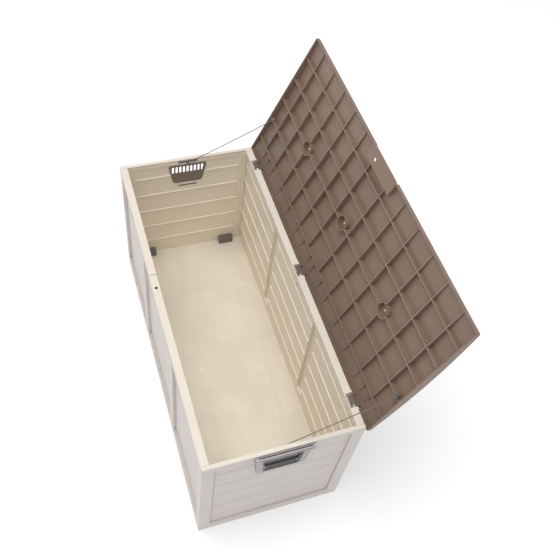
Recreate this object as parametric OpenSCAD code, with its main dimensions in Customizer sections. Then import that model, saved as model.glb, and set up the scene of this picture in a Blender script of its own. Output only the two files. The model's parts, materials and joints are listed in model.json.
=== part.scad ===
// Outdoor storage box of moulded resin, with its hinged lid standing open.
// X runs along the box, the front faces -Y and Z is up, in millimetres.
// The origin is on the ground, midway along and across the body.

/* [Body] */
// Length over the two end faces
body_len = 1100; // [1000:10:1200]
// Depth over the front and back frames
body_dep = 462; // [440:2:520]
// Height of the rim above the ground
rim_z = 510; // [500:2:540]
// Thickness of the moulded skins
skin = 3; // [2.5:0.1:3.4]
// Height of the floor's upper face
floor_z = 25; // [24:1:30]

/* [Walls] */
// Width of the front and back rims
long_rim = 23; // [22:0.5:26]
// Width of the end rims
end_rim = 12; // [12:0.5:14]
// How far the frames stand proud of the front and back planks
frame_proud = 10; // [10:0.5:12]
// Height of the lowest plank line
plank_z0 = 98; // [90:1:104]
// Height of one plank
plank_pitch = 85; // [80:1:85]
// Number of plank lines
plank_lines = 5; // [3:1:5]
// Distance of the two middle posts from the centre
post_x = 193; // [160:1:240]
// Width of a middle post
post_w = 46; // [40:1:60]
// Width of a corner post on the end face
corner_w = 36; // [30:1:44]
// Width of a corner post on the front and back faces
corner_return = 30; // [26:1:40]

/* [Lid] */
// Length over the end skirts
lid_len = 1114; // [1112:2:1130]
// How far the front skirt stands ahead of the hinge axis
lid_reach = 471; // [469:0.5:476]
// How far the back skirt stands behind the hinge axis
lid_back = 4.5; // [4.5:0.5:6]
// Height of the closed lid's crown above the rim
lid_rise = 27.5; // [27:0.5:32]
// Rise of the crown from front and back edge to middle
lid_crown = 16.5; // [12:0.5:16.5]
// Angle of the open lid from closed
lid_open = 112.5; // [95:0.5:112.5]

/* [Hinges] */
// Height of the hinge axis below the rim
hinge_drop = 4.5; // [4.5:0.1:4.8]
// Distance of the hinge axis from the back frame's face
hinge_inset = 1; // [0.6:0.1:1]
// Distance of the outer hinges from the centre
hinge_x = 462; // [420:1:480]
// Width of one hinge lug
lug_w = 41; // [36:1:41]
// Radius of a hinge pin
pin_r = 2.5; // [2:0.1:2.5]

/* [Handles] */
// Distance of the recess's upper edge below the rim
grip_drop = 25; // [24:0.5:26]
// How far the lift bar stands proud of the end face
grip_proud = 10; // [8:1:12]
// Number of vent slots in the grille
vent_count = 9; // [5:2:9]

/* [Lid stays] */
// Diameter of the stay wire
wire_d = 2.5; // [2:0.1:3]
// Distance of a stay's lid anchor from the centre
stay_x = 536; // [534:0.5:538]

/* [Wheels] */
// Radius of a wheel
wheel_r = 17.5; // [16:0.5:17.5]
// Width of a wheel
wheel_w = 38; // [30:1:44]
// Distance of each wheel from the centre line
wheel_y = 154; // [140:1:160]

/* [Hidden] */
$fn = 48;

// colours, as linear parts of red, green and blue
beige = [0.90, 0.86, 0.79];
sand = [0.84, 0.79, 0.71];
brown = [0.48, 0.42, 0.37];
dark_grey = [0.36, 0.33, 0.32];
steel = [0.72, 0.71, 0.70];

gap = 0.3;                                // between pieces that only stand against each other
run = 0.05;                               // round a pin that turns
half_len = body_len / 2;
half_dep = body_dep / 2;
plank_out = half_dep - frame_proud;       // outer face of the long walls' planks
plank_in = plank_out - skin;
ridge_t = 3.5;                            // how far the ridges inside stand proud
end_in = half_len - end_rim + 4;          // inner face of the end walls' skin
end_out = end_in + skin;
rail_z = 42;                              // height of the long bottom rails
end_rail_z = 40;                          // height of the end bottom rails
rim_skirt = 22;                           // how far the rims' outer flanges hang down
rim_lip = 16;                             // how far the rims' inner flanges hang down
line_z = [for (k = [0 : plank_lines - 1]) plank_z0 + k * plank_pitch];

hinge_y = half_dep - hinge_inset;
hinge_z = rim_z - hinge_drop;
knuckle_r = 4.5;                          // round the pins, on wall and lid
notch_w = lug_w + 4;
boss_w = 10;                              // length of a wall knuckle beside the notch
hinge_at = [-hinge_x, 0, hinge_x];

lock_w = 176;                             // lowered length of the front rim
lock_drop = 3;
lock_at = [-39, -(half_dep - 12)];        // axis of the padlock hole
lock_r = 4.5;
pad_w = 158;                              // lock pad in the lid's front edge
pad_dep = 42.5;
pad_lip = 5;                              // how far its foot reaches ahead of the front skirt

lid_top = rim_z + lid_rise;
lid_front_y = hinge_y - lid_reach;
lid_back_y = hinge_y + lid_back;
lid_mid_y = (lid_front_y + lid_back_y) / 2;
lid_half = lid_len / 2;
lid_skirt_z = rim_z + 0.5;                // lower edge of the skirts, closed
lid_rib_z = lid_skirt_z + 5;              // lower edge of the ribs, closed
strip_rib_z = lid_rib_z + 4.5;            // the same along the hinges
skirt_t = 4;
lid_corner = 4.5;
lid_groove_y = [-135, -45, 45, 135];      // grooves along the lid's top, from its middle
rib_t = 2.5;
rib_pitch_y = 83.5;
rib_y = [for (k = [4 : -1 : 0]) lid_back_y - 65 - k * rib_pitch_y];
rib_pitch_x = 87.5;
rib_x = [for (k = [0 : 5]) 50 + k * rib_pitch_x];
strip_rib_x = [82, rib_x[1], rib_x[2], rib_x[3], rib_x[4]];
ring_at = [-315, 0, 315];                 // round bosses, on the middle rib
ring_r = 24;
crown_half = (lid_back_y - lid_front_y) / 2;
crown_r = (crown_half * crown_half + lid_crown * lid_crown) / (2 * lid_crown);

grip_top = rim_z - grip_drop;             // upper edge of the handle's recess
recess_low = rim_z - 129;                 // lower edge of the handle's recess
window_low = rim_z - 107;                 // opening through the wall
window_top = rim_z - 31;
grille_low = rim_z - 111;
grille_top = rim_z - 28;
tab_low = rim_z - 135;                    // lower edge of the lower snap slot
tab_high = rim_z - 17;                    // lower edge of the upper snap slot
tab_half = 34;                            // half length of a snap slot
band_y = 186;                             // inner edge of the band up each inside corner
ball_r = 3;
hook_at = [half_len - 15, 0, rim_z - 14];           // ball of the wall hook
clip_rib_y = rib_y[3];                              // the rib that a clip holds
clip_at = [stay_x, clip_rib_y - 10.5, rim_z + 12];  // ball of the clip, with the lid closed

wheel_x = -half_len + 9;
wheel_z = wheel_r + 3;
axle_r = 4;
housing_half = 27;
housing_in = half_len - 31;               // inner face of a housing, from the centre
housing_z = 51;
wall_t = 2.5;                             // wall of a housing

// ---------------------------------------------------------------- shared shapes
// a box between two corners
module block(a, b) { translate(a) cube(b - a); }

// an outline in Y and Z, swept along X and centred
module along_x(length) { rotate([90, 0, 90]) linear_extrude(length, center = true) children(); }

// an outline in X and Z, swept along Y and centred
module along_y(length) { rotate([90, 0, 0]) linear_extrude(length, center = true) children(); }

// a rectangle with round corners
module round_rect(a, b, r) {
    translate([a.x + r, a.y]) square([b.x - a.x - 2 * r, b.y - a.y]);
    translate([a.x, a.y + r]) square([b.x - a.x, b.y - a.y - 2 * r]);
    for (x = [a.x + r, b.x - r], y = [a.y + r, b.y - r]) translate([x, y]) circle(r);
}

// section of a planked skin: V grooves on its outer face and a ridge behind each
module plank_section(z0, z1) {
    groove = [for (z = line_z) each [[skin, z - 2.5], [skin - 1.5, z], [skin, z + 2.5]]];
    ridge = [for (i = [plank_lines - 1 : -1 : 0])
             each [[0, line_z[i] + 4], [-ridge_t, line_z[i] + 3], [-ridge_t, line_z[i] - 2], [0, line_z[i] - 5]]];
    polygon(concat([[skin, z0]], groove, [[skin, z1], [0, z1]], ridge, [[0, z0]]));
}

// a symmetrical plate in Y and Z whose sides lean in towards its foot, with round corners
module tapered_plate(top_half, low_half, z0, z1, r) {
    hull() {
        for (s = [-1, 1]) {
            translate([s * (top_half - r / 2), z1 - r / 2]) circle(r / 2, $fn = 24);
            translate([s * (low_half - r), z0 + r]) circle(r, $fn = 32);
        }
    }
}

// ---------------------------------------------------------------- long walls
// the back wall before its hinge notches; the front wall is its mirror image
module long_wall() {
    rim_half = half_len - end_rim - gap;
    // planks, open behind each middle post
    difference() {
        union() {
            translate([0, plank_in, 0]) along_x(2 * (end_in - gap)) plank_section(0, rim_z - rim_skirt - gap);
            block([-rim_half, plank_in, rim_z - rim_skirt - 2 * gap], [rim_half, plank_out, rim_z - 1]);
        }
        for (s = [-1, 1])
            block([s * post_x - post_w / 2 + skin, plank_in - 5, rail_z + 6],
                  [s * post_x + post_w / 2 - skin, plank_out + 1, rim_z - rim_skirt - 6]);
    }
    // middle posts
    for (s = [-1, 1])
        difference() {
            block([s * post_x - post_w / 2, plank_in + 1, rail_z - 2],
                  [s * post_x + post_w / 2, half_dep, rim_z - rim_skirt + 2]);
            block([s * post_x - post_w / 2 + skin, plank_in - 1, rail_z + 6],
                  [s * post_x + post_w / 2 - skin, half_dep - skin, rim_z - rim_skirt - 6]);
        }
    // rim, an upturned channel
    along_x(2 * rim_half) {
        translate([half_dep - long_rim, rim_z - skin]) square([long_rim, skin]);
        translate([half_dep - skin, rim_z - rim_skirt]) square([skin, rim_skirt]);
        translate([half_dep - long_rim, rim_z - rim_lip]) square([skin, rim_lip]);
    }
    // bottom rail
    along_x(2 * (half_len - corner_return - gap)) {
        translate([half_dep - skin, 0]) square([skin, rail_z]);
        translate([plank_in, rail_z - skin]) square([half_dep - plank_in, skin]);
        translate([plank_in, 0]) square([half_dep - plank_in, skin]);
    }
    // ledges that stiffen the rim, beside the posts
    for (x = [-330, -90, 90, 330])
        block([x - 1.5, half_dep - long_rim + 1, rim_z - rim_lip], [x + 1.5, half_dep - 1, rim_z - 1]);
}

module back_wall() {
    floor_of_notch = rim_z - 23;
    snap_x = [-365, -90, 0, 90, 365];
    color(beige) difference() {
        union() {
            long_wall();
            // a pocket for each lug, with a knuckle on each side that carries the pin
            for (x = hinge_at) {
                block([x - notch_w / 2 - boss_w, half_dep - long_rim, floor_of_notch - skin],
                      [x + notch_w / 2 + boss_w, half_dep - skin + 1, rim_z - 1]);
                translate([x, hinge_y, hinge_z]) rotate([0, 90, 0])
                    cylinder(h = notch_w + 2 * boss_w, r = knuckle_r, center = true);
            }
        }
        for (x = hinge_at) {
            block([x - notch_w / 2, half_dep - long_rim + skin + 0.5, floor_of_notch],
                  [x + notch_w / 2, half_dep + 5, rim_z + 1]);
            translate([x, hinge_y, hinge_z]) rotate([0, 90, 0])
                cylinder(h = notch_w + 2 * boss_w - 4, r = pin_r + run, center = true);
        }
        // slots for the floor's snap tabs
        for (x = snap_x) block([x - 9, plank_in - 1, floor_z + 2], [x + 9, plank_out + 1, floor_z + 8]);
    }
}

module front_wall() {
    tube_low = rim_z - lock_drop - 15;
    pocket_low = tube_low - 27;
    pocket_half = 14;
    pocket_y = half_dep - 18.5;
    color(beige) mirror([0, 1, 0]) difference() {
        union() {
            long_wall();
            block([-lock_w / 2 - skin, half_dep - long_rim, rim_z - lock_drop - 4],
                  [lock_w / 2 + skin, half_dep, rim_z - lock_drop + 1]);
            translate([lock_at.x, -lock_at.y, tube_low]) cylinder(h = 14, r = lock_r + 3);
            block([lock_at.x - pocket_half - skin, pocket_y - skin, pocket_low - skin],
                  [lock_at.x + pocket_half + skin, plank_out, tube_low + skin]);
        }
        block([-lock_w / 2, 0, rim_z - lock_drop], [lock_w / 2, half_dep + 1, rim_z + 1]);
        translate([lock_at.x, -lock_at.y, tube_low - 1]) cylinder(h = 30, r = lock_r);
        // a pocket for the shackle, open to the front
        block([lock_at.x - pocket_half, pocket_y, pocket_low], [lock_at.x + pocket_half, plank_out + 1, tube_low]);
    }
}

// ---------------------------------------------------------------- end walls
// the right end; the left end is its mirror image with the wheel openings
module end_wall() {
    skin_half = half_dep - skin - gap;
    difference() {
        union() {
            // planks, without ridges at the corners and behind the vent grille
            difference() {
                translate([end_in, 0, 0]) along_y(2 * skin_half) plank_section(0, rim_z - 1);
                for (m = [0, 1]) mirror([0, m, 0])
                    block([end_in - ridge_t - 1, band_y, 50], [end_in, half_dep, rim_z - 25]);
                translate([end_in - ridge_t - 1, 0, 0]) rotate([90, 0, 90]) linear_extrude(ridge_t + 1)
                    tapered_plate(66 + gap, 54 + gap, grille_low - gap, grille_top + gap, 13);
            }
            for (m = [0, 1]) mirror([0, m, 0]) corner_band();
            // rim, an upturned channel over the whole depth
            along_y(body_dep) {
                translate([half_len - end_rim, rim_z - skin]) square([end_rim, skin]);
                translate([half_len - skin, rim_z - rim_skirt]) square([skin, rim_skirt]);
                translate([half_len - end_rim, rim_z - 20]) square([skin, 20]);
            }
            // bottom rail
            along_y(body_dep) {
                translate([half_len - skin, 0]) square([skin, end_rail_z]);
                translate([end_in, end_rail_z - skin]) square([half_len - end_in, skin]);
            }
            for (s = [-1, 1]) corner_post(s);
        }
        // opening behind the handle, and the slots for its snap tabs
        translate([end_in - 1, 0, 0]) rotate([90, 0, 90]) linear_extrude(skin + 3)
            tapered_plate(61, 53, window_low, window_top, 10);
        block([end_in - 1, -tab_half, tab_low], [end_out + 1, tab_half, tab_low + 8]);
        block([half_len - end_rim - 1, -tab_half, tab_high], [half_len - skin, tab_half, tab_high + 11]);
        // shadow gap between the planks and each corner post
        for (s = [-1, 1], k = [0 : plank_lines]) {
            low = k == 0 ? end_rail_z + 8 : line_z[k - 1] + 8;
            high = k == plank_lines ? rim_z - rim_skirt - 8 : line_z[k] - 8;
            y = s * (half_dep - corner_w - 2);
            block([end_out - 1.5, y - 1.5, low], [end_out + 1, y + 1.5, high]);
        }
    }
}

// raised band up an inside corner, with a groove along it
module corner_band() {
    difference() {
        block([end_in - 2.5, band_y, floor_z + gap], [end_in + 1, plank_in - ridge_t - 0.5, rim_z - 19]);
        block([end_in - 3, band_y + 12.5, floor_z + 14], [end_in - 1, band_y + 15.5, rim_z - 32]);
    }
}

// an L-shaped corner post; side is -1 at the front and 1 at the back
module corner_post(side) {
    top = rim_z - rim_skirt - gap;
    mirror([0, side < 0 ? 1 : 0, 0]) {
        block([half_len - skin, half_dep - corner_w, 0], [half_len, half_dep, top + 1]);
        block([end_in + 1, half_dep - corner_w, 0], [half_len, half_dep - corner_w + skin, top]);
        block([half_len - corner_return, half_dep - skin, 0], [half_len, half_dep, top]);
        block([half_len - corner_return, plank_out + gap, 0], [half_len - corner_return + skin, half_dep, top]);
        block([end_in + 1, half_dep - skin - 1, 0], [half_len, half_dep, top]);
    }
}

module right_end_wall() { color(beige) end_wall(); }

module left_end_wall() {
    color(beige) difference() {
        mirror([1, 0, 0]) end_wall();
        for (s = [-1, 1])
            block([-half_len - 1, s * wheel_y - housing_half - gap, -1],
                  [-end_in + 5, s * wheel_y + housing_half + gap, wheel_z + wheel_r + 6]);
    }
}

// ---------------------------------------------------------------- floor
module floor_panel() {
    fx = end_in - gap;
    fy = plank_in - gap;
    color(sand) difference() {
        union() {
            block([-fx, -fy, floor_z - skin], [fx, fy, floor_z]);
            for (k = [-4 : 4]) block([k * 120 - 1.5, -fy, 0], [k * 120 + 1.5, fy, floor_z - 1]);
            for (k = [-1.5 : 1 : 1.5]) block([-fx, k * 120 - 1.5, 0], [fx, k * 120 + 1.5, floor_z - 1]);
            // hollow feet at the middle and towards each corner
            for (x = [-420, 0, 420], y = x == 0 ? [0] : [-120, 120])
                translate([x, y, 0]) difference() {
                    cylinder(h = floor_z - 1, r = 26);
                    translate([0, 0, 6]) cylinder(h = floor_z, r = 23);
                }
        }
        for (s = [-1, 1])
            block([-fx - 1, s * wheel_y - housing_half - gap, -1],
                  [-housing_in + gap, s * wheel_y + housing_half + gap, floor_z + 1]);
    }
}

// ---------------------------------------------------------------- handles
// the right handle, pushed into the end wall from outside
module handle() {
    back_x = end_out + 0.2;
    face_x = half_len - 0.5;
    bar_x = half_len + gap;
    rotate([90, 0, 90]) {
        // bezel, and the thinner back of the recess round the opening
        translate([0, 0, back_x]) linear_extrude(face_x - back_x) difference() {
            tapered_plate(84, 73, recess_low - 6, rim_z - rim_skirt - gap, 12);
            tapered_plate(62.5, 54, recess_low, grip_top, 12);
        }
        translate([0, 0, back_x]) linear_extrude(1.5) difference() {
            tapered_plate(64, 55.5, recess_low - 2, grip_top + 2, 12);
            tapered_plate(58.5, 50.5, window_low + 2.5, window_top - 2.5, 8);
        }
        // collar through the wall
        translate([0, 0, end_in + gap]) linear_extrude(back_x - end_in) difference() {
            tapered_plate(61 - gap, 53 - gap, window_low + gap, window_top - gap, 10 - gap);
            tapered_plate(58.5, 50.5, window_low + 2.5, window_top - 2.5, 8);
        }
    }
    // ribs at the foot of the recess
    for (k = [0 : 2])
        block([back_x + 1, -44, recess_low + 5 + 6 * k], [back_x + 2.7, 44, recess_low + 7 + 6 * k]);
    // lift bar with a round nose
    lift_bar(bar_x, half_len + grip_proud);
    block([back_x, -70, grip_top - 1], [bar_x + 2, 70, rim_z - rim_skirt - gap]);
    // snap tabs, below and above
    tab_x = half_len - skin - gap;
    block([end_in + 0.5, -tab_half + 1, tab_low + 1], [back_x + 1, tab_half - 1, tab_low + 7]);
    block([back_x, -tab_half + 1, grip_top], [tab_x, tab_half - 1, tab_high + 10]);
    block([half_len - end_rim + 0.5, -tab_half + 1, tab_high + 1], [tab_x, tab_half - 1, tab_high + 10]);
}

// the bar that the fingers lift, between x0 and x1, with a groove along its top and its face
module lift_bar(x0, x1) {
    nose = 4.5;
    top = rim_z - 10;
    half = 86;
    slot_half = 75;
    slot_r = 1.6;
    difference() {
        translate([0, 0, grip_top]) linear_extrude(top - grip_top) {
            translate([x0, -half]) square([x1 - x0 - nose, 2 * half]);
            translate([x0, -half + nose]) square([x1 - x0, 2 * (half - nose)]);
            for (s = [-1, 1]) translate([x1 - nose, s * (half - nose)]) circle(nose);
        }
        translate([x1 - 5, 0, top - 2.5]) linear_extrude(4) {
            square([2 * slot_r, 2 * slot_half], center = true);
            for (s = [-1, 1]) translate([0, s * slot_half]) circle(slot_r, $fn = 24);
        }
        translate([x1 - 2.5, 0, grip_top + 6.5]) rotate([90, 0, 90]) linear_extrude(4) {
            square([2 * slot_half, 2 * slot_r], center = true);
            for (s = [-1, 1]) translate([s * slot_half, 0]) circle(slot_r, $fn = 24);
        }
    }
}

module right_handle() { color(dark_grey) handle(); }
module left_handle() { color(dark_grey) mirror([1, 0, 0]) handle(); }

// slotted plate that closes the recess from inside
module vent_grille() {
    slot_pitch = 13;
    slot_r = 3.9;
    slot_z = [rim_z - 64, rim_z - 33];
    face_x = end_in - 3;
    difference() {
        union() {
            translate([face_x, 0, 0]) rotate([90, 0, 90]) linear_extrude(2.8)
                tapered_plate(66, 54, grille_low, grille_top, 13);
            // raised edge
            translate([face_x - 1, 0, 0]) rotate([90, 0, 90]) linear_extrude(1.5) difference() {
                tapered_plate(66, 54, grille_low, grille_top, 13);
                tapered_plate(63.5, 51.5, grille_low + 2.5, grille_top - 2.5, 11);
            }
        }
        for (k = [0 : vent_count - 1]) {
            y = (k - (vent_count - 1) / 2) * slot_pitch;
            block([face_x - 2, y - slot_r, slot_z[0] + slot_r], [end_in + 1, y + slot_r, slot_z[1] - slot_r]);
            for (z = [slot_z[0] + slot_r, slot_z[1] - slot_r])
                translate([face_x - 2, y, z]) rotate([0, 90, 0]) cylinder(h = 6, r = slot_r, $fn = 24);
        }
    }
}

module right_vent_grille() { color(dark_grey) vent_grille(); }
module left_vent_grille() { color(dark_grey) mirror([1, 0, 0]) vent_grille(); }

// ---------------------------------------------------------------- lid stays
// turns a closed-lid shape to where the open lid stands
module opened() {
    translate([0, hinge_y, hinge_z]) rotate([-lid_open, 0, 0]) translate([0, -hinge_y, -hinge_z]) children();
}

// a point of the closed lid, where the open lid holds it
function open_point(p) =
    let (y = p.y - hinge_y, z = p.z - hinge_z)
    [p.x, hinge_y + y * cos(lid_open) + z * sin(lid_open), hinge_z - y * sin(lid_open) + z * cos(lid_open)];

// a straight wire that stops just short of the ball at each end
module stay_wire(a, b) {
    d = b - a;
    length = norm(d);
    short = ball_r + 0.8;
    translate(a) rotate([0, acos(d.z / length), atan2(d.y, d.x)])
        translate([0, 0, short]) cylinder(h = length - 2 * short, r = wire_d / 2, $fn = 24);
}

// hook on the handle's upper tab
module stay_hook() {
    root_x = half_len - end_rim + 0.3;
    block([root_x - 2, -7, hook_at.z - 2.5], [root_x, 7, hook_at.z + 5.5]);
    translate([hook_at.x, 0, hook_at.z]) rotate([0, 90, 0]) cylinder(h = root_x - 1 - hook_at.x, r = 2.2);
    translate(hook_at) sphere(ball_r);
}

// clip astride a rib of the lid, with the lid closed; a slot lets the wire pass below the rib
module stay_clip() {
    half = 6.5;
    arm = 4.5;
    low = lid_rib_z - 3;
    grip = rib_t / 2 + 0.15;
    difference() {
        block([stay_x - half, clip_rib_y - arm, low], [stay_x + half, clip_rib_y + arm, lid_rib_z + 12]);
        block([stay_x - half - 1, clip_rib_y - grip, lid_rib_z - 0.2],
              [stay_x + half + 1, clip_rib_y + grip, lid_rib_z + 13]);
        block([stay_x - 2.2, clip_rib_y - arm - 1, low - 1], [stay_x + 2.2, clip_rib_y + arm + 1, lid_rib_z + 3.5]);
        block([stay_x - half - 1, clip_rib_y, lid_rib_z + 3], [stay_x + half + 1, clip_rib_y + arm + 1, lid_rib_z + 13]);
    }
    translate(clip_at) rotate([-90, 0, 0]) cylinder(h = clip_rib_y - arm + 1 - clip_at.y, r = 1.2);
    translate(clip_at) sphere(ball_r);
}

module right_stay_hook() { color(dark_grey) stay_hook(); }
module left_stay_hook() { color(dark_grey) mirror([1, 0, 0]) stay_hook(); }
module right_stay_wire() { color(steel) stay_wire(hook_at, open_point(clip_at)); }
module left_stay_wire() { color(steel) mirror([1, 0, 0]) stay_wire(hook_at, open_point(clip_at)); }
module right_stay_clip() { color(dark_grey) opened() stay_clip(); }
module left_stay_clip() { color(dark_grey) opened() mirror([1, 0, 0]) stay_clip(); }

// ---------------------------------------------------------------- hinge pins
module hinge_pin(x) {
    color(steel) translate([x, hinge_y, hinge_z]) rotate([0, 90, 0])
        cylinder(h = notch_w + 2 * boss_w - 5, r = pin_r, center = true);
}

module hinge_pin_left() { hinge_pin(hinge_at[0]); }
module hinge_pin_middle() { hinge_pin(hinge_at[1]); }
module hinge_pin_right() { hinge_pin(hinge_at[2]); }

// ---------------------------------------------------------------- wheels
// a cover that is open outwards and downwards, with the axle in its cheeks
module wheel_housing(y) {
    out_x = -half_len + 0.5;
    under_lid = wheel_z + wheel_r + 5;
    color(dark_grey) translate([0, y, 0]) difference() {
        union() {
            block([-end_in + gap, -housing_half, 4], [-housing_in, housing_half, housing_z]);
            block([out_x, -housing_half, 4], [-end_in + gap + 1, housing_half, under_lid]);
        }
        block([out_x - 1, -housing_half + wall_t, 0], [-housing_in - wall_t, housing_half - wall_t, under_lid - wall_t]);
        block([-end_in + gap - 1, -housing_half + wall_t, under_lid],
              [-housing_in - wall_t, housing_half - wall_t, housing_z - wall_t]);
        translate([wheel_x, 0, wheel_z]) rotate([90, 0, 0]) cylinder(h = 100, r = axle_r + run, center = true);
    }
}

// a wheel with a rounded tread, ribs between hub and rim, and a bore for the axle
module wheel(y) {
    color(dark_grey) translate([wheel_x, y, wheel_z]) rotate([90, 0, 0]) difference() {
        rotate_extrude() difference() {
            round_rect([0, -wheel_w / 2], [wheel_r, wheel_w / 2], 3);
            translate([-10, -wheel_w]) square([10, 2 * wheel_w]);
        }
        for (s = [-1, 1]) translate([0, 0, s * wheel_w / 2]) rotate_extrude()
            translate([axle_r + 3, -6]) square([wheel_r - axle_r - 6, 12]);
        cylinder(h = wheel_w + 2, r = axle_r + run, center = true);
    }
}

module wheel_axle(y) {
    color(steel) translate([wheel_x, y, wheel_z]) rotate([90, 0, 0])
        cylinder(h = 2 * housing_half, r = axle_r, center = true);
}

module wheel_housing_front() { wheel_housing(-wheel_y); }
module wheel_housing_back() { wheel_housing(wheel_y); }
module wheel_axle_front() { wheel_axle(-wheel_y); }
module wheel_axle_back() { wheel_axle(wheel_y); }
module wheel_front() { wheel(-wheel_y); }
module wheel_back() { wheel(wheel_y); }

// ---------------------------------------------------------------- lid
// space under the crowned top, drop below it
module under_crown(drop) {
    along_x(lid_len + 10) translate([lid_mid_y, lid_top - crown_r]) circle(crown_r - drop, $fn = 1440);
}

// the lid's plan, drawn in by inset
module lid_plan(inset) {
    round_rect([-lid_half + inset, lid_front_y + inset], [lid_half - inset, lid_back_y - inset], lid_corner - inset);
}

module lid_shell() {
    difference() {
        intersection() {
            translate([0, 0, lid_skirt_z]) linear_extrude(60) lid_plan(0);
            under_crown(0);
        }
        intersection() {
            translate([0, 0, lid_skirt_z - 5]) linear_extrude(60) lid_plan(skirt_t);
            under_crown(skin);
        }
    }
}

// a rib across the lid at x, between y0 and y1
module cross_rib(x, y0, y1, low) { block([x - rib_t / 2, y0, low], [x + rib_t / 2, y1, lid_top]); }

module lid_ribs() {
    inner = lid_half - 1;
    intersection() {
        difference() {
            union() {
                for (y = rib_y) block([-inner, y - rib_t / 2, lid_rib_z], [inner, y + rib_t / 2, lid_top]);
                for (s = [-1, 1]) {
                    for (x = rib_x) cross_rib(s * x, lid_front_y + 1, rib_y[4], lid_rib_z);
                    for (x = strip_rib_x) cross_rib(s * x, rib_y[4], lid_back_y - 1, strip_rib_z);
                }
                // ribs that carry the lugs
                for (x = hinge_at, s = [-1, 1])
                    cross_rib(x + s * (lug_w / 2 - rib_t), rib_y[4], lid_back_y - 1, strip_rib_z);
                for (x = ring_at) translate([x, rib_y[2], lid_rib_z + 2.5]) cylinder(h = 30, r = ring_r);
            }
            for (x = ring_at) translate([x, rib_y[2], lid_skirt_z]) cylinder(h = 60, r = ring_r - 3);
        }
        under_crown(1);
    }
}

// the middle of a round boss, with a small nub
module boss(x) {
    translate([x, rib_y[2], 0]) {
        translate([0, 0, lid_top - skin - 2]) cylinder(h = 3.5, r = 14);
        translate([0, 0, lid_top - skin - 4.5]) cylinder(h = 6, r = 2.5);
    }
}

// a lug: two ears on the pin, and a web behind them
module lid_lug(x) {
    ear = 6;
    foot = rim_z + 9;
    difference() {
        union() {
            for (s = [-1, 1]) translate([x + s * (lug_w - ear) / 2, 0, 0]) along_x(ear) {
                translate([hinge_y, hinge_z]) circle(knuckle_r);
                translate([hinge_y - knuckle_r, hinge_z]) square([2 * knuckle_r, foot - hinge_z]);
            }
            block([x - lug_w / 2, hinge_y + 1, hinge_z + 3.5], [x + lug_w / 2, hinge_y + knuckle_r, foot]);
        }
        translate([x, hinge_y, hinge_z]) rotate([0, 90, 0]) cylinder(h = lug_w + 2, r = pin_r + run, center = true);
    }
}

// lock pad, a pocket in the lid's top that is open at the front; its foot meets the lowered
// rim and reaches forward as a lift lip
module lock_pad() {
    low = rim_z - lock_drop + 0.5;
    back_y = lid_front_y + pad_dep;
    half = pad_w / 2;
    translate([0, 0, low]) linear_extrude(skin) round_rect([-half, lid_front_y - pad_lip], [half, back_y], 8);
    intersection() {
        translate([0, 0, low]) linear_extrude(60) difference() {
            round_rect([-half, lid_front_y - 30], [half, back_y], 8);
            round_rect([-half + skin, lid_front_y - 40], [half - skin, back_y - skin], 6);
        }
        translate([0, 0, low]) linear_extrude(60) lid_plan(0);
        under_crown(0);
    }
}

module lid() {
    inner = pad_w / 2 - skin;
    color(brown) opened() difference() {
        union() {
            difference() {
                union() {
                    lid_shell();
                    lid_ribs();
                }
                translate([0, 0, lid_skirt_z - 1]) linear_extrude(60)
                    round_rect([-inner, lid_front_y - 30], [inner, lid_front_y + pad_dep - skin], 6);
            }
            lock_pad();
            for (x = ring_at) boss(x);
            for (x = hinge_at) lid_lug(x);
        }
        translate([lock_at.x, lock_at.y, rim_z - 10]) cylinder(h = 20, r = lock_r + 1);
        // shallow grooves along the top
        for (y = lid_groove_y) along_x(lid_len - 26)
            translate([lid_mid_y + y, lid_top - crown_r + sqrt(crown_r * crown_r - y * y)]) circle(1.2, $fn = 4);
    }
}

// ---------------------------------------------------------------- pieces
floor_panel();
front_wall();
back_wall();
left_end_wall();
right_end_wall();
left_handle();
right_handle();
left_vent_grille();
right_vent_grille();
left_stay_hook();
right_stay_hook();
left_stay_wire();
right_stay_wire();
hinge_pin_left();
hinge_pin_middle();
hinge_pin_right();
wheel_housing_front();
wheel_housing_back();
wheel_axle_front();
wheel_axle_back();
wheel_front();
wheel_back();
lid();
left_stay_clip();
right_stay_clip();
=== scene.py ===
"""Looks of an outdoor resin storage box with its hinged lid open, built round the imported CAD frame.

Everything is in metres in the frame's own axes: +X along the box, the front faces -Y, +Z up.
"""

import json
import math

import bmesh
import bpy
from mathutils import Matrix, Vector


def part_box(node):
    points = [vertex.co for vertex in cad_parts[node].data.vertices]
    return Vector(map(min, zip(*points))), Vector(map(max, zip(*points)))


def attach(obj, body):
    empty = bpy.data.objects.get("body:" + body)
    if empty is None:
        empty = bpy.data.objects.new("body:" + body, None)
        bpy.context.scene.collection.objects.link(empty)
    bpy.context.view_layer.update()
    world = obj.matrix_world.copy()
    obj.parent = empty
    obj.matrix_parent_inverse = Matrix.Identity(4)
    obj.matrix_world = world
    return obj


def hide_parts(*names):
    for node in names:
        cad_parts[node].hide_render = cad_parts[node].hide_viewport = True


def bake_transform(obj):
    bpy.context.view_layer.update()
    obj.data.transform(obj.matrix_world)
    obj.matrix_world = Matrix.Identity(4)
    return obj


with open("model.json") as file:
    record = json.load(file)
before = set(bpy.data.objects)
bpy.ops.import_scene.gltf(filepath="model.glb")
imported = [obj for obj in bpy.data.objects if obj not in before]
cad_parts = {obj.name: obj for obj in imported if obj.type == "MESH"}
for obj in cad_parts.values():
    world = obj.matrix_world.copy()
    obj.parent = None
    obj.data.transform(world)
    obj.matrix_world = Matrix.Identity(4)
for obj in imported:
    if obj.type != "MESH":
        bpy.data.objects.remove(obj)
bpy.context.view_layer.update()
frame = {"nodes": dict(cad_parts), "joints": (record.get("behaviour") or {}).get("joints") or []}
nodes = frame["nodes"]
hinge = next(j for j in frame["joints"] if j["name"] == "lid_hinge")
HINGE_AT = Vector(hinge["pos_m"])
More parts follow.
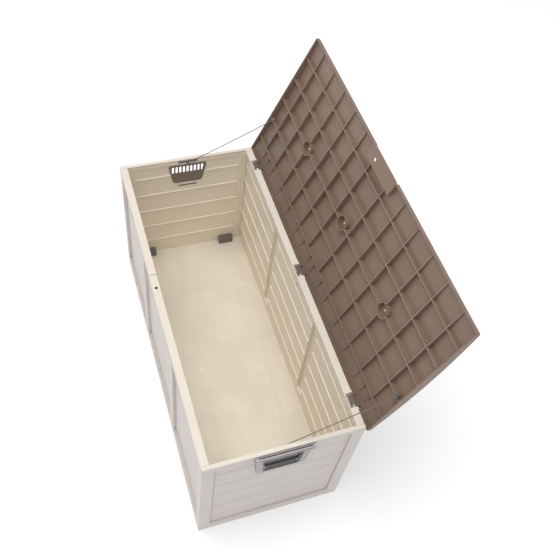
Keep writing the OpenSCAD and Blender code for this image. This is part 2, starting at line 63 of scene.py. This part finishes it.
LID_ANGLE = math.radians(hinge["range_deg"][1])  # from open, as modelled, to closed

# where things are, in metres; X and Y ranges are distances from the middle of the box
PLANK_PITCH = 0.085
PLANK_FOOT = 0.098 - PLANK_PITCH  # lower edge of the lowest plank
LID_PLANKS = 5
POST_CHANNEL = {"X": (0.1728, 0.2132), "Y": (0.0, 0.2282), "Z": (0.047, 0.4835)}  # behind a middle post
LONG_WALL_SKIN_Y = 0.2197  # the front and back walls' outer faces are beyond this
END_RIM = {"X": 0.5437, "Z": 0.5045}  # the end walls' outer faces and the rims' tops are beyond these
RIM_ABOVE_Z = 0.45
PADLOCK_AXIS = (-0.039, -0.219, 0)
PADLOCK_BORE_Z, PADLOCK_BORE_R = (0.4915, 0.5067), 0.0052
RIB_CREST_Z = (0.5130, 0.5168)  # the ribs' lower edges are between these in the closed lid
HOOK_BALL = (0.535, 0.0, 0.496)  # right end; the left end is its mirror image
CLIP_BALL = (0.536, 0.0755, 0.522)  # the same, on the closed lid
BOSS_X, BOSS_Y, BOSS_Z = 0.315, 0.0025, 0.5302  # the floor of a boss of the closed lid

# colours and light
# The three beige tones are one resin: the rims' tops and the outer faces are painted darker and greyer
# than the inside, as painted light and shade.
BEIGE_INSIDE, BEIGE_RIM_SHADED, BEIGE_OUTSIDE_SHADED = (0.865, 0.79, 0.672), (0.725, 0.665, 0.575), (0.65, 0.60, 0.565)
SAND, BROWN = (0.785, 0.725, 0.625), (0.243, 0.168, 0.124)
# The second colour on the next line is a painted highlight for the lower edges of the lid's ribs.
DUST, RIB_CREST_HIGHLIGHT, SPECK = (0.42, 0.38, 0.33), (0.33, 0.262, 0.225), (0.93, 0.90, 0.84)
# Painted shade: near black for the inside of the padlock bore and for the grooves of the handle's bar.
BORE_PAINTED_SHADE, GROOVE_PAINTED_SHADE = (0.045, 0.042, 0.04), (0.05, 0.048, 0.047)
DOME_LOW, DOME_HIGH = 0.25, 0.98  # light of the studio dome at the horizon and overhead


# ---------------------------------------------------------------- camera, light and floor
def make_camera():
    """The camera of the picture: high up, beyond the right end and a little in front of the box."""
    data = bpy.data.cameras.new("camera")
    data.sensor_width = 36
    data.lens = 46.4
    camera = bpy.data.objects.new("camera", data)
    right = Vector((0.30720, 0.94545, 0.10839))
    down = Vector((0.79408, -0.19189, -0.57673))
    forward = right.cross(down)
    turn = Matrix((right, -down, -forward)).transposed()
    camera.matrix_world = Matrix.Translation((1.1927, -0.4338, 2.3158)) @ turn.to_4x4()
    bpy.context.scene.collection.objects.link(camera)
    bpy.context.scene.camera = camera


def area_light(name, location, size, power, colour):
    data = bpy.data.lights.new(name, "AREA")
    data.shape = "DISK"
    data.size = size
    data.energy = power
    data.color = colour
    light = bpy.data.objects.new(name, data)
    light.location = location
    aim = Vector((0, 0.05, 0.45)) - light.location
    light.rotation_euler = aim.to_track_quat("-Z", "Y").to_euler()
    bpy.context.scene.collection.objects.link(light)


def make_light():
    """A soft dome that is brightest overhead, a warm key from above and a cool fill on the sides."""
    world = bpy.data.worlds.new("studio")
    bpy.context.scene.world = world
    world.use_nodes = True
    tree = world.node_tree
    height = tree.nodes.new("ShaderNodeSeparateXYZ")
    place = tree.nodes.new("ShaderNodeTexCoord")
    ramp = tree.nodes.new("ShaderNodeMapRange")
    ramp.inputs["From Min"].default_value = 0.0
    ramp.inputs["From Max"].default_value = 1.0
    ramp.inputs["To Min"].default_value = DOME_LOW
    ramp.inputs["To Max"].default_value = DOME_HIGH
    tree.links.new(place.outputs["Generated"], height.inputs["Vector"])
    tree.links.new(height.outputs["Z"], ramp.inputs["Value"])
    background = tree.nodes["Background"]
    background.inputs["Color"].default_value = (0.97, 0.98, 1.0, 1)
    tree.links.new(ramp.outputs["Result"], background.inputs["Strength"])
    area_light("key", (-0.1, -0.45, 3.5), 2.4, 52, (1.0, 0.965, 0.92))
    area_light("fill", (3.0, -3.0, 1.3), 2.4, 5, (0.86, 0.90, 1.0))
    bpy.context.scene.view_settings.view_transform = "Standard"


def make_floor():
    shape = bmesh.new()
    bmesh.ops.create_grid(shape, x_segments=8, y_segments=8, size=20)
    mesh = bpy.data.meshes.new("studio_floor")
    shape.to_mesh(mesh)
    shape.free()
    floor = bpy.data.objects.new("studio_floor", mesh)
    floor.location.z = -0.0005
    bpy.context.scene.collection.objects.link(floor)
    m = Shader("studio_floor")
    mottle = m.noise(m.coordinates("Object"), scale=1.2, detail=2)
    white = m.mix(mottle, (0.93, 0.93, 0.93), (0.95, 0.95, 0.95))
    m.finish(white, roughness=0.8, Emission_Color=(1.0, 1.0, 1.0), Emission_Strength=0.2)
    mesh.materials.append(m.material)


# ---------------------------------------------------------------- shader building
class Shader:
    """A material made of nodes. Each method adds a node and returns the socket to use next."""

    def __init__(self, name):
        self.material = bpy.data.materials.new(name)
        self.material.use_nodes = True
        self.tree = self.material.node_tree
        self.tree.nodes.clear()

    def node(self, kind, inputs=None, **settings):
        made = self.tree.nodes.new(kind)
        for key, value in settings.items():
            setattr(made, key, value)
        for key, value in (inputs or {}).items():
            self.put(made.inputs[key], value)
        return made

    def put(self, socket, value):
        if isinstance(value, bpy.types.NodeSocket):
            self.tree.links.new(value, socket)
        elif isinstance(value, tuple) and len(value) == 3 and socket.type == "RGBA":
            socket.default_value = (*value, 1)
        else:
            socket.default_value = value

    def coordinates(self, which="Object"):
        return self.node("ShaderNodeTexCoord").outputs[which]

    def stretched(self, vector, scale):
        return self.node("ShaderNodeMapping", {"Vector": vector, "Scale": scale}).outputs["Vector"]

    def dot(self, a, b):
        return self.node("ShaderNodeVectorMath", {0: a, 1: b}, operation="DOT_PRODUCT").outputs["Value"]

    def turned_to_closed(self, vector):
        """The closed lid's coordinates of a point or direction of the open lid."""
        made = self.node("ShaderNodeVectorRotate",
                         {"Vector": vector, "Center": tuple(HINGE_AT), "Angle": LID_ANGLE},
                         rotation_type="X_AXIS")
        return made.outputs["Vector"]

    def noise(self, vector, scale, detail=3.0, distortion=0.0, roughness=0.5):
        made = self.node("ShaderNodeTexNoise", {"Vector": vector, "Scale": scale, "Detail": detail,
                                                "Distortion": distortion, "Roughness": roughness})
        return made.outputs["Fac"]

    def maths(self, operation, a, b=0.0, clamp=False):
        made = self.node("ShaderNodeMath", operation=operation, use_clamp=clamp)
        self.put(made.inputs[0], a)
        self.put(made.inputs[1], b)
        return made.outputs["Value"]

    def remap(self, value, low, high, to_low=0.0, to_high=1.0):
        """Value from low to high becomes to_low to to_high, clamped and smooth."""
        made = self.node("ShaderNodeMapRange", {"Value": value, "From Min": low, "From Max": high,
                                                "To Min": to_low, "To Max": to_high},
                         interpolation_type="SMOOTHSTEP")
        return made.outputs["Result"]

    def split(self, vector):
        return self.node("ShaderNodeSeparateXYZ", {"Vector": vector}).outputs

    def join(self, x, y, z):
        return self.node("ShaderNodeCombineXYZ", {"X": x, "Y": y, "Z": z}).outputs["Vector"]

    def mix(self, share, a, b, blend="MIX"):
        made = self.node("ShaderNodeMix", data_type="RGBA", blend_type=blend)
        self.put(made.inputs["Factor"], share)
        self.put(made.inputs[6], a)
        self.put(made.inputs[7], b)
        return made.outputs[2]

    def soft_edges(self, radius):
        """The surface normal with its edges rounded off."""
        return self.node("ShaderNodeBevel", {"Radius": radius}, samples=4).outputs["Normal"]

    def edge_mask(self, rounded):
        """1 on the edges that soft_edges rounds, 0 on the flats."""
        flat = self.node("ShaderNodeNewGeometry").outputs["Normal"]
        return self.remap(self.dot(rounded, flat), 0.995, 0.80)

    def bump(self, height, distance, normal):
        inputs = {"Height": height, "Distance": distance, "Strength": 1.0, "Normal": normal}
        return self.node("ShaderNodeBump", inputs).outputs["Normal"]

    def finish(self, colour, roughness, normal=None, **constants):
        """Ends the material in one principled shader. Constants are set on its own sockets."""
        inputs = {"Base Color": colour, "Roughness": roughness}
        if normal is not None:
            inputs["Normal"] = normal
        inputs.update({key.replace("_", " "): value for key, value in constants.items()})
        shader = self.node("ShaderNodeBsdfPrincipled", inputs)
        out = self.node("ShaderNodeOutputMaterial")
        self.tree.links.new(shader.outputs["BSDF"], out.inputs["Surface"])
        return self.material


def shade(colour, amount):
    """A colour made lighter or darker by a share."""
    return tuple(min(1.0, c * (1 + amount)) for c in colour)


def toned(m, colour, amount):
    """The same for a colour that may also be a socket."""
    if isinstance(colour, tuple):
        return shade(colour, amount)
    level = 1 + amount
    return m.mix(1.0, colour, (level, level, level), blend="MULTIPLY")


# ---------------------------------------------------------------- resin materials
def moulded(m, colour, place, variation=0.05, edge=0.10, dirt=0.06, radius=0.0009, satin=0.46):
    """The common look of moulded resin: (colour, roughness, rounded normal).

    Broad cloudiness from uneven cooling, fine flow streaks, dust that settles in patches, and edges
    that are rubbed smoother and painted lighter in patches, partly as wear and partly as a painted
    highlight.
    """
    rounded = m.soft_edges(radius)
    edges = m.edge_mask(rounded)
    clouds = m.noise(place, scale=5.0, detail=4)
    streaks = m.noise(m.stretched(place, (3, 30, 30)), scale=2.0, detail=5, distortion=0.6)
    dust = m.remap(m.noise(place, scale=14.0, detail=6, roughness=0.65), 0.52, 0.78)
    tint = m.mix(m.remap(clouds, 0.3, 0.7), toned(m, colour, -variation), toned(m, colour, variation))
    streak = m.maths("MULTIPLY", m.remap(streaks, 0.45, 0.75), 0.5)
    tint = m.mix(streak, tint, toned(m, colour, -variation * 1.4))
    tint = m.mix(m.maths("MULTIPLY", dust, dirt), tint, DUST)
    # Edges painted lighter in patches: partly wear, partly a painted highlight.
    edge_wear_and_highlight = m.maths("MULTIPLY", edges, m.remap(m.noise(place, scale=60, detail=3), 0.35, 0.6))
    tint = m.mix(m.maths("MULTIPLY", edge_wear_and_highlight, edge), tint, toned(m, colour, 0.35))
    matt = m.remap(clouds, 0.3, 0.7, satin - 0.05, satin + 0.05)
    matt = m.maths("ADD", matt, m.maths("MULTIPLY", dust, 0.10))
    matt = m.maths("SUBTRACT", matt, m.maths("MULTIPLY", edge_wear_and_highlight, 0.08), clamp=True)
    return tint, matt, rounded


def pebbled(m, place, normal, scale=1100, depth=0.00006):
    """The fine spark-eroded texture of a moulding tool."""
    grain = m.noise(place, scale=scale, detail=2, roughness=0.6)
    return m.bump(grain, depth, normal)


def wood_grain(m, place, along, pitch, foot, across):
    """Embossed wood grain, 0 to 1, along one axis, that starts afresh on each plank."""
    parts = m.split(place)
    plank = m.maths("FLOOR", m.maths("DIVIDE", m.maths("SUBTRACT", parts[across], foot), pitch))
    shift = m.maths("MULTIPLY", plank, 3.71)
    moved = {axis: parts[axis] for axis in "XYZ"}
    moved[along] = m.maths("ADD", parts[along], shift)
    start = m.join(moved["X"], moved["Y"], moved["Z"])
    wide = tuple(1.1 if axis == along else 22.0 for axis in "XYZ")
    thin = tuple(2.4 if axis == along else 210.0 for axis in "XYZ")
    figure = m.noise(m.stretched(start, wide), scale=1.0, detail=3, distortion=1.3)
    rings = m.maths("SINE", m.maths("MULTIPLY", figure, 46.0))
    fibres = m.noise(m.stretched(start, thin), scale=1.0, detail=4, roughness=0.6)
    lines = m.remap(rings, 0.35, 0.95)
    return m.maths("ADD", m.maths("MULTIPLY", lines, 0.55), m.maths("MULTIPLY", fibres, 0.6), clamp=True)


def facing(m, direction):
    """1 where the object's own surface faces the direction, 0 elsewhere."""
    return m.remap(m.dot(m.coordinates("Normal"), direction), 0.5, 0.9)


def beyond(m, place, **limits):
    """1 where a coordinate, or its distance from the middle, is beyond its limit: X, Y or Z in metres."""
    parts = m.split(place)
    found = 0.0
    for axis, limit in limits.items():
        away = m.maths("ABSOLUTE", parts[axis])
        found = m.maths("MAXIMUM", m.remap(away, limit - 0.0004, limit + 0.0004), found)
    return found


def within(m, place, **ranges):
    """1 where each named coordinate, or its distance from the middle, is in its range of metres."""
    parts = m.split(place)
    found = 1.0
    for axis, (low, high) in ranges.items():
        away = m.maths("ABSOLUTE", parts[axis])
        share = m.maths("MULTIPLY", m.maths("GREATER_THAN", away, low), m.maths("LESS_THAN", away, high))
        found = m.maths("MULTIPLY", share, found)
    return found


def wall_resin(name, outward, along, bore=None):
    """Beige resin: painted greyer and darker on the outside as shade, with wood grain there, and the rims'
    tops a tone between; plain and satin inside; painted dark as shade in a bore.
    """
    m = Shader(name)
    place = m.coordinates()
    # Painted light and shade: the rims' tops and the outer faces are painted in darker, greyer tones than
    # the inside.
    rim = m.maths("MULTIPLY", facing(m, (0, 0, 1)), beyond(m, place, Z=RIM_ABOVE_Z))
    painted_outer_shade = m.mix(rim, BEIGE_OUTSIDE_SHADED, BEIGE_RIM_SHADED)
    channel = within(m, place, **POST_CHANNEL)
    outer = m.maths("SUBTRACT", beyond(m, place, Y=LONG_WALL_SKIN_Y), channel, clamp=True)
    outer = m.maths("MAXIMUM", outer, beyond(m, place, **END_RIM))
    outer_shade_mask = m.maths("MAXIMUM", facing(m, outward), outer)
    beige = m.mix(outer_shade_mask, BEIGE_INSIDE, painted_outer_shade)
    # Painted shade: the inside of the padlock bore is painted near black.
    if bore is not None:
        level = m.stretched(place, (1, 1, 0))
        away = m.node("ShaderNodeVectorMath", {0: level, 1: bore}, operation="DISTANCE").outputs["Value"]
        tube = within(m, place, Z=PADLOCK_BORE_Z)
        painted_bore_shade = m.maths("MULTIPLY", tube, m.maths("LESS_THAN", away, PADLOCK_BORE_R))
        beige = m.mix(painted_bore_shade, beige, BORE_PAINTED_SHADE)
    tint, matt, rounded = moulded(m, beige, place, variation=0.025, edge=0.25, dirt=0.05)
    outside = facing(m, outward)
    grain = wood_grain(m, place, along, PLANK_PITCH, PLANK_FOOT, "Z")
    relief = m.maths("MULTIPLY", grain, outside)
    tint = m.mix(m.maths("MULTIPLY", relief, 0.16), tint, shade(BEIGE_OUTSIDE_SHADED, -0.22))
    normal = m.bump(relief, 0.00035, rounded)
    normal = pebbled(m, place, normal)
    matt = m.maths("ADD", matt, m.maths("MULTIPLY", relief, 0.08), clamp=True)
    return m.finish(tint, matt, normal)


def floor_resin():
    """The floor: pale, cloudy and scuffed by what was kept on it."""
    m = Shader("floor_resin")
    place = m.coordinates()
    tint, matt, rounded = moulded(m, SAND, place, variation=0.045, edge=0.1, dirt=0.08, satin=0.42)
    blotch = m.remap(m.noise(place, scale=9, detail=7, roughness=0.6, distortion=0.5), 0.5, 0.72)
    tint = m.mix(m.maths("MULTIPLY", blotch, 0.45), tint, shade(SAND, 0.12))
    rub = m.noise(m.stretched(place, (18, 130, 1)), scale=1.0, detail=3, distortion=1.5)
    rub = m.maths("MULTIPLY", m.remap(rub, 0.66, 0.80), m.remap(m.noise(place, scale=4), 0.45, 0.65))
    tint = m.mix(m.maths("MULTIPLY", rub, 0.45), tint, shade(SAND, -0.20))
    specks = m.remap(m.noise(place, scale=34, detail=2), 0.69, 0.73)
    specks = m.maths("MULTIPLY", specks, m.remap(m.noise(place, scale=3.5), 0.48, 0.6))
    tint = m.mix(m.maths("MULTIPLY", specks, 0.6), tint, SPECK)
    normal = m.bump(rub, 0.00012, rounded)
    normal = m.bump(blotch, 0.0003, normal)
    matt = m.maths("ADD", matt, m.maths("MULTIPLY", rub, 0.2))
    return m.finish(tint, matt, pebbled(m, place, normal))


def lid_resin():
    """Brown resin: cloudy and satin below, wood grain on the top."""
    m = Shader("lid_resin")
    place = m.turned_to_closed(m.coordinates())
    tint, matt, rounded = moulded(m, BROWN, place, variation=0.07, edge=0.45, dirt=0.10, satin=0.44)
    lid_up = Vector((0, math.sin(LID_ANGLE), math.cos(LID_ANGLE)))
    top = facing(m, tuple(lid_up))
    below = facing(m, tuple(-lid_up))
    # Painted highlight: the lower edges of the ribs are painted lighter.
    crest_highlight = m.maths("MULTIPLY", below, within(m, place, Z=RIB_CREST_Z))
    tint = m.mix(m.maths("MULTIPLY", crest_highlight, 0.75), tint, RIB_CREST_HIGHLIGHT)
    # Painted shade: the lid is painted darker towards the hinge.
    hinge_side_shade = m.remap(m.split(place)["Y"], 0.06, 0.23)
    tint = m.mix(m.maths("MULTIPLY", hinge_side_shade, 0.6), tint, toned(m, tint, -0.33))
    lo, hi = closed_box("lid")
    grain = wood_grain(m, place, "X", (hi.y - lo.y) / LID_PLANKS, lo.y, "Y")
    relief = m.maths("MULTIPLY", grain, top)
    tint = m.mix(m.maths("MULTIPLY", relief, 0.30), tint, shade(BROWN, -0.35))
    normal = m.bump(relief, 0.0004, rounded)
    scratch = m.noise(m.stretched(place, (7, 240, 40)), scale=1.0, detail=2, distortion=2.0)
    scratch = m.maths("MULTIPLY", m.remap(scratch, 0.70, 0.78), m.remap(m.noise(place, scale=6), 0.5, 0.7))
    tint = m.mix(m.maths("MULTIPLY", scratch, 0.25), tint, shade(BROWN, 0.6))
    return m.finish(tint, matt, pebbled(m, place, normal, scale=900, depth=0.00008))


def dark_resin(name, colour, satin=0.40, edge=0.35, depth=0.00007, recesses=()):
    """Small mouldings of grey-brown resin, with rubbed edges. Painted shade darkens the recesses."""
    m = Shader(name)
    place = m.coordinates()
    # Painted shade: each listed recess is painted in its darker colour.
    for painted_shade, ranges in recesses:
        colour = m.mix(within(m, place, **ranges), colour, painted_shade)
    tint, matt, rounded = moulded(m, colour, place, variation=0.08, edge=edge, dirt=0.12,
                                     radius=0.0007, satin=satin)
    return m.finish(tint, matt, pebbled(m, place, rounded, scale=1300, depth=depth))


def steel(name, colour, along="X", rough=0.32):
    """Drawn steel with fine lines along its length and dull spots."""
    m = Shader(name)
    place = m.coordinates()
    thin = tuple(8.0 if axis == along else 1400.0 for axis in "XYZ")
    lines = m.noise(m.stretched(place, thin), scale=1.0, detail=3)
    spots = m.remap(m.noise(place, scale=220, detail=4), 0.55, 0.75)
    tint = m.mix(lines, shade(colour, -0.1), shade(colour, 0.1))
    tint = m.mix(m.maths("MULTIPLY", spots, 0.5), tint, shade(colour, -0.45))
    matt = m.remap(lines, 0.3, 0.7, rough - 0.06, rough + 0.06)
    matt = m.maths("ADD", matt, m.maths("MULTIPLY", spots, 0.2))
    normal = m.bump(lines, 0.00002, m.soft_edges(0.0003))
    return m.finish(tint, matt, normal, Metallic=1.0)


def closed_box(node):
    """Lowest and highest corner of a lid node, with the lid closed."""
    turn = Matrix.Rotation(LID_ANGLE, 3, "X")
    points = [HINGE_AT + turn @ (v.co - HINGE_AT) for v in nodes[node].data.vertices]
    lo = Vector(min(p[i] for p in points) for i in range(3))
    hi = Vector(max(p[i] for p in points) for i in range(3))
    return lo, hi


def paint(name, material):
    mesh = nodes[name].data
    mesh.materials.clear()
    mesh.materials.append(material)


def paint_all():
    paint("front_wall", wall_resin("front_wall_resin", (0, -1, 0), "X", bore=PADLOCK_AXIS))
    paint("back_wall", wall_resin("back_wall_resin", (0, 1, 0), "X"))
    paint("left_end_wall", wall_resin("left_wall_resin", (-1, 0, 0), "Y"))
    paint("right_end_wall", wall_resin("right_wall_resin", (1, 0, 0), "Y"))
    paint("floor_panel", floor_resin())
    paint("lid", lid_resin())
    grip = dark_resin("grip_resin", (0.41, 0.37, 0.372), recesses=(
        ((0.16, 0.155, 0.152), {"X": (0.0, 0.5489)}),  # behind the bezel's face: painted shade in the handle's recess
        (GROOVE_PAINTED_SHADE, {"X": (0.5532, 0.5568), "Z": (0.496, 0.4998)}),  # painted shade in the groove in the bar's top
        (GROOVE_PAINTED_SHADE, {"X": (0.5570, 0.5598), "Z": (0.4897, 0.4933)})))  # painted shade in the groove in the bar's face
    vent = dark_resin("vent_resin", (0.19, 0.155, 0.13), recesses=(
        ((0.085, 0.08, 0.078), {"X": (0.5412, 0.5500)}),))  # the side that shows in the handle's recess, painted near black as shade
    hook = dark_resin("hook_resin", (0.19, 0.155, 0.13))
    housing = dark_resin("housing_resin", (0.16, 0.138, 0.135), satin=0.36)
    tyre = dark_resin("tyre_resin", (0.05, 0.047, 0.047), satin=0.55, edge=0.6, depth=0.00015)
    bright = steel("bright_steel", (0.17, 0.165, 0.16))
    axle = steel("axle_steel", (0.58, 0.57, 0.56), along="Y")
    for side in ("left", "right"):
        paint(f"{side}_handle", grip)
        paint(f"{side}_vent_grille", vent)
        paint(f"{side}_stay_hook", hook)
        paint(f"{side}_stay_clip", housing)
    for place in ("front", "back"):
        paint(f"wheel_housing_{place}", housing)
        paint(f"wheel_{place}", tyre)
        paint(f"wheel_axle_{place}", axle)
    for place in ("left", "middle", "right"):
        paint(f"hinge_pin_{place}", bright)


# ---------------------------------------------------------------- small pieces in mesh code
def add_piece(name, shape, body, material):
    """Makes an object of a bmesh, smooth, that rides on a body."""
    bmesh.ops.recalc_face_normals(shape, faces=shape.faces)
    mesh = bpy.data.meshes.new(name)
    shape.to_mesh(mesh)
    shape.free()
    mesh.shade_smooth()
    mesh.materials.append(material)
    piece = bpy.data.objects.new(name, mesh)
    bpy.context.scene.collection.objects.link(piece)
    if body:
        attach(piece, body)
    return piece


def join_rings(shape, rings):
    """Skins a list of equal rings of vertices, and caps its two ends."""
    count = len(rings[0])
    for a, b in zip(rings, rings[1:]):
        for i in range(count):
            k = (i + 1) % count
            shape.faces.new((a[i], a[k], b[k], b[i]))
    shape.faces.new(rings[0])
    shape.faces.new(rings[-1])


def sweep(shape, points, radius, sides, guide, offset=0.0, turns=0.0, start=0.0):
    """A round tube along points. With an offset it winds round them, as a strand of a cable does."""
    rings = []
    last = len(points) - 1
    for i, point in enumerate(points):
        along = (points[min(i + 1, last)] - points[max(i - 1, 0)]).normalized()
        across = guide.cross(along).normalized()
        up = along.cross(across)
        wind = start + 2 * math.pi * turns * i / last
        middle = point + offset * (math.cos(wind) * across + math.sin(wind) * up)
        ring = []
        for k in range(sides):
            turn = 2 * math.pi * k / sides
            ring.append(shape.verts.new(middle + radius * (math.cos(turn) * across + math.sin(turn) * up)))
        rings.append(ring)
    join_rings(shape, rings)


def lathe(shape, profile, foot, axis, guide, sides=24, flatten=1.0):
    """Turns a profile of (radius, height) round an axis that starts at foot."""
    across = guide.cross(axis).normalized()
    up = axis.cross(across)
    rings = []
    for radius, height in profile:
        ring = []
        for k in range(sides):
            turn = 2 * math.pi * k / sides
            side = math.cos(turn) * across + flatten * math.sin(turn) * up
            ring.append(shape.verts.new(foot + height * axis + radius * side))
        rings.append(ring)
    join_rings(shape, rings)


def opened(point):
    """Where the open lid holds a point of the closed lid."""
    return HINGE_AT + Matrix.Rotation(-LID_ANGLE, 3, "X") @ (Vector(point) - HINGE_AT)


# ---------------------------------------------------------------- lid stays
FERRULE = ((0.0011, 0.0), (0.0019, 0.0003), (0.0020, 0.0016), (0.0016, 0.0022), (0.0016, 0.0026),
           (0.0020, 0.0032), (0.0020, 0.0046), (0.0016, 0.0052), (0.0016, 0.0056), (0.0020, 0.0062),
           (0.0019, 0.0075), (0.0011, 0.0078))
EYE_R, EYE_TIP, FERRULE_AT, CABLE_AT = 0.0036, 0.0062, 0.0052, 0.0085  # from the middle of the ball
EYE_WIRE_R, STRAND_R, STRANDS, STRAND_TURNS, CABLE_SAG = 0.0006, 0.00078, 3, 34, 0.0022


def stay_end(name, ball, along, guide, body, material):
    """The wire's eye round a ball, and the crimped ferrule that closes it."""
    shape = bmesh.new()
    side = guide.cross(along).normalized()
    open_half = math.acos(EYE_R / EYE_TIP)
    arc = [open_half + (2 * math.pi - 2 * open_half) * i / 28 for i in range(29)]
    loop = [ball + EYE_R * (math.cos(a) * along + math.sin(a) * side) for a in arc]
    tip = ball + EYE_TIP * along
    sweep(shape, [tip] + loop + [tip], EYE_WIRE_R, 8, guide)
    add_piece(f"{name}_eye", shape, body, material)
    shape = bmesh.new()
    lathe(shape, FERRULE, ball + FERRULE_AT * along, along, guide, flatten=0.82)
    add_piece(f"{name}_ferrule", shape, body, material)


def make_stays():
    """A stay at each end: three strands twisted together, taut apart from a slight sag."""
    cable_steel = steel("cable_steel", (0.29, 0.25, 0.228), along="Y", rough=0.38)
    ferrule_steel = steel("ferrule_steel", (0.33, 0.32, 0.31), along="Y", rough=0.34)
    for side, sign in (("left", -1), ("right", 1)):
        mirrored = Vector((sign, 1, 1))
        hook = Vector(HOOK_BALL) * mirrored
        clip = opened(Vector(CLIP_BALL) * mirrored)
        along = (clip - hook).normalized()
        sideways = Vector((1, 0, 0))
        start = hook + CABLE_AT * along
        end = clip - CABLE_AT * along
        steps = 420
        route = []
        for i in range(steps + 1):
            share = i / steps
            sag = CABLE_SAG * math.sin(math.pi * share)
            route.append(start.lerp(end, share) - Vector((0, 0, sag)))
        shape = bmesh.new()
        for k in range(STRANDS):
            sweep(shape, route, STRAND_R, 6, sideways, offset=STRAND_R, turns=STRAND_TURNS,
                  start=2 * math.pi * k / STRANDS)
        cable = add_piece(f"{side}_stay_cable", shape, None, cable_steel)
        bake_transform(cable)
        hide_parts(f"{side}_stay_wire")
        stay_end(f"{side}_stay_low", hook, along, sideways, "box", ferrule_steel)
        stay_end(f"{side}_stay_high", clip, -along, sideways, "lid", ferrule_steel)


# ---------------------------------------------------------------- hinge leaves
def make_hinge_leaves():
    """A leaf of the lid's resin in each notch, curled round the pin between the lug's ears."""
    resin = dark_resin("hinge_leaf_resin", (0.125, 0.098, 0.086), satin=0.5)
    curl_r, half_thick, tip_y, half_x = 0.0035, 0.0008, -0.0135, 0.0138
    line = [(tip_y * (1 - i / 8), curl_r) for i in range(9)]
    curl = [math.radians(12 * i) for i in range(1, 19)]
    line += [(curl_r * math.sin(a), curl_r * math.cos(a)) for a in curl]
    for place in ("left", "middle", "right"):
        lo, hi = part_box(f"hinge_pin_{place}")
        pin_x = (lo[0] + hi[0]) / 2
        shape = bmesh.new()
        rings = []
        for i, (y, z) in enumerate(line):
            before, after = line[max(i - 1, 0)], line[min(i + 1, len(line) - 1)]
            run = Vector((0, after[0] - before[0], after[1] - before[1])).normalized()
            out = Vector((0, -run.z, run.y)) * half_thick
            middle = HINGE_AT + Vector((pin_x, y, z))
            sides = ((-half_x, 1), (half_x, 1), (half_x, -1), (-half_x, -1))
            rings.append([shape.verts.new(middle + Vector((x, 0, 0)) + sign * out) for x, sign in sides])
        join_rings(shape, rings)
        leaf = add_piece(f"hinge_leaf_{place}", shape, "lid", resin)
        soft = leaf.modifiers.new("rounded_edges", "BEVEL")
        soft.width, soft.segments, soft.limit_method = 0.0004, 2, "ANGLE"
        leaf.data.shade_flat()


# ---------------------------------------------------------------- lid bosses
def make_boss_caps():
    """A small domed plug of pale resin in the middle of each round boss of the lid."""
    pale = dark_resin("pale_plug_resin", (0.80, 0.70, 0.63), satin=0.35, edge=0.1)
    dome = ((0.0035, 0.0), (0.0036, 0.0006), (0.0031, 0.0013), (0.0020, 0.0018), (0.0008, 0.0020))
    down = Matrix.Rotation(-LID_ANGLE, 3, "X") @ Vector((0, 0, -1))
    for place, x in (("left", -BOSS_X), ("middle", 0.0), ("right", BOSS_X)):
        shape = bmesh.new()
        lathe(shape, dome, opened((x, BOSS_Y, BOSS_Z)), down, Vector((1, 0, 0)))
        add_piece(f"boss_plug_{place}", shape, "lid", pale)


make_camera()
make_light()
make_floor()
paint_all()
make_stays()
make_hinge_leaves()
make_boss_caps()
